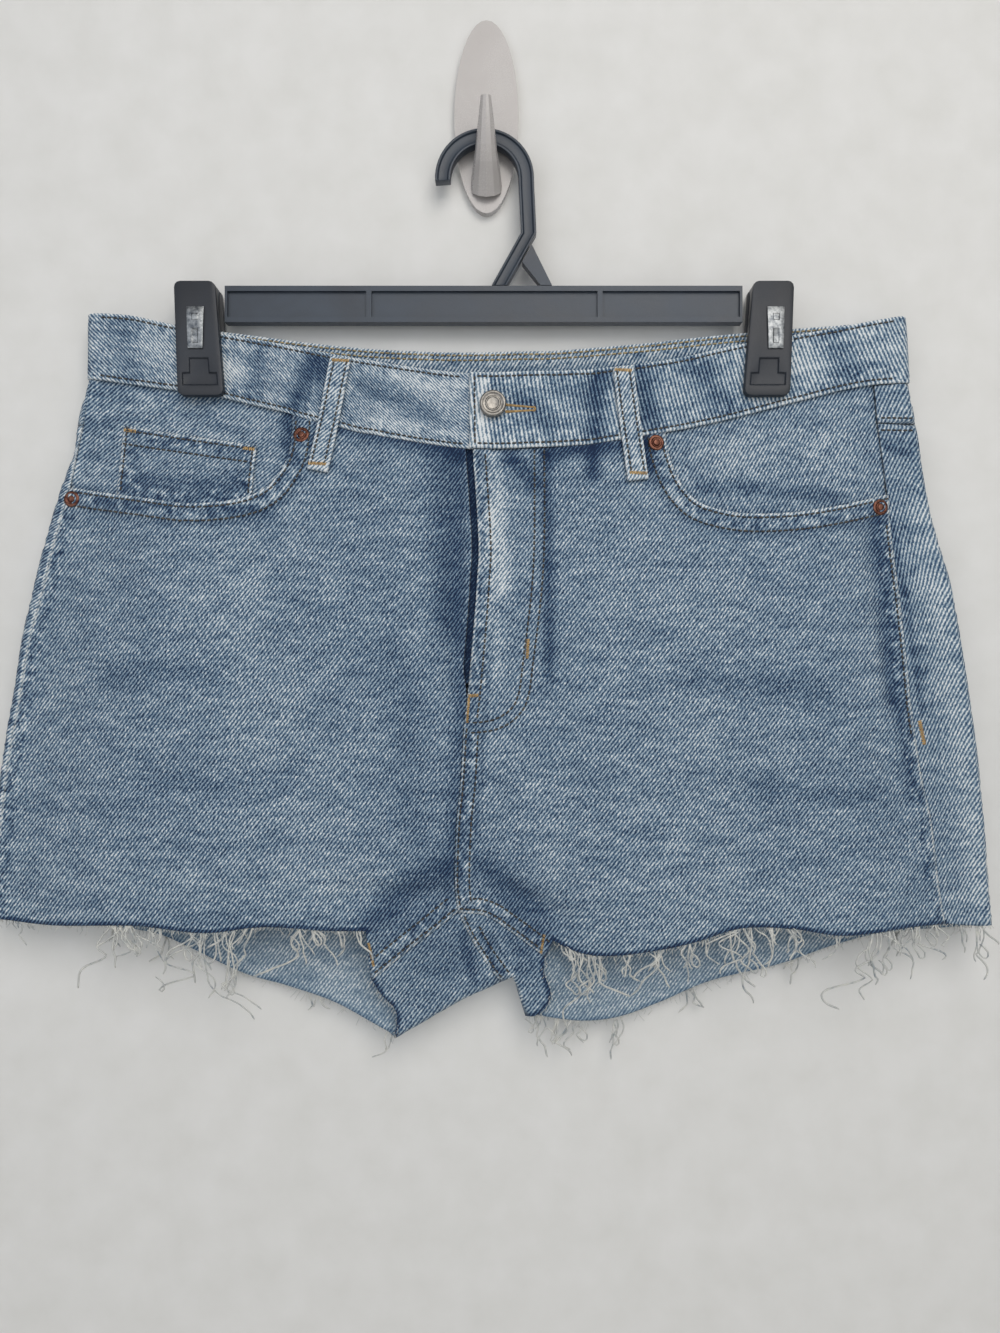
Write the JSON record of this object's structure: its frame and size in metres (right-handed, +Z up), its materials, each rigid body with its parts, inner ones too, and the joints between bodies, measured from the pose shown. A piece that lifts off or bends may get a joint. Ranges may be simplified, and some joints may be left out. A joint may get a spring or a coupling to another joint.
{
  "type": "denim shorts on a clip hanger and wall hook",
  "caption": "Light-wash denim cut-off shorts with frayed raw hems, clipped by the waistband in a plastic clip hanger that hangs on an oval adhesive wall hook",
  "frame": {"origin": "the middle of the wall hook's flat back, which is stuck to the wall", "axes": "+Z up, +Y into the wall, -Y is the front of the garment, +X is the wearer's left and the viewer's right"},
  "size_m": [0.5744, 0.0408, 0.6126],
  "materials": {
    "denim": "stone and acid washed indigo cotton denim, right-hand twill, matte",
    "inner_denim": "wrong side of washed denim and cotton zip tape, matte",
    "loose_threads": "undyed cotton weft threads, frayed",
    "rivet_copper": "antiqued copper plate",
    "button_pewter": "worn antique pewter plate over zinc",
    "hanger_plastic": "moulded charcoal polystyrene, semi-gloss",
    "spring_nickel": "nickel-plated spring steel",
    "hook_plastic": "moulded white styrene, glossy"
  },
  "bodies": {
    "root": {"front_right": "denim", "front_left": "denim", "back_right": "denim", "back_left": "denim", "yoke_right": "denim", "yoke_left": "denim", "waistband": "denim", "facing_right": "denim", "facing_left": "denim", "coin_pocket": "denim", "back_pocket_right": "denim", "back_pocket_left": "denim", "belt_loop_front_right": "denim", "belt_loop_front_left": "denim", "belt_loop_back_right": "denim", "belt_loop_back_left": "denim", "belt_loop_back_centre": "denim", "fly_zip": "inner_denim", "fly_shield": "inner_denim", "fringe_front_right": "loose_threads", "fringe_front_left": "loose_threads", "fringe_back_right": "loose_threads", "fringe_back_left": "loose_threads", "rivet_right_inner": "rivet_copper", "rivet_right_outer": "rivet_copper", "rivet_left_inner": "rivet_copper", "rivet_left_outer": "rivet_copper", "button": "button_pewter", "hanger_bar": "hanger_plastic", "hanger_hook": "hanger_plastic", "hanger_strut": "hanger_plastic", "clip_right_front": "hanger_plastic", "clip_right_back": "hanger_plastic", "clip_right_bridge": "hanger_plastic", "clip_left_front": "hanger_plastic", "clip_left_back": "hanger_plastic", "clip_left_bridge": "hanger_plastic", "clip_right_spring": "spring_nickel", "clip_left_spring": "spring_nickel", "wall_hook": "hook_plastic"}
  },
  "joints": []
}
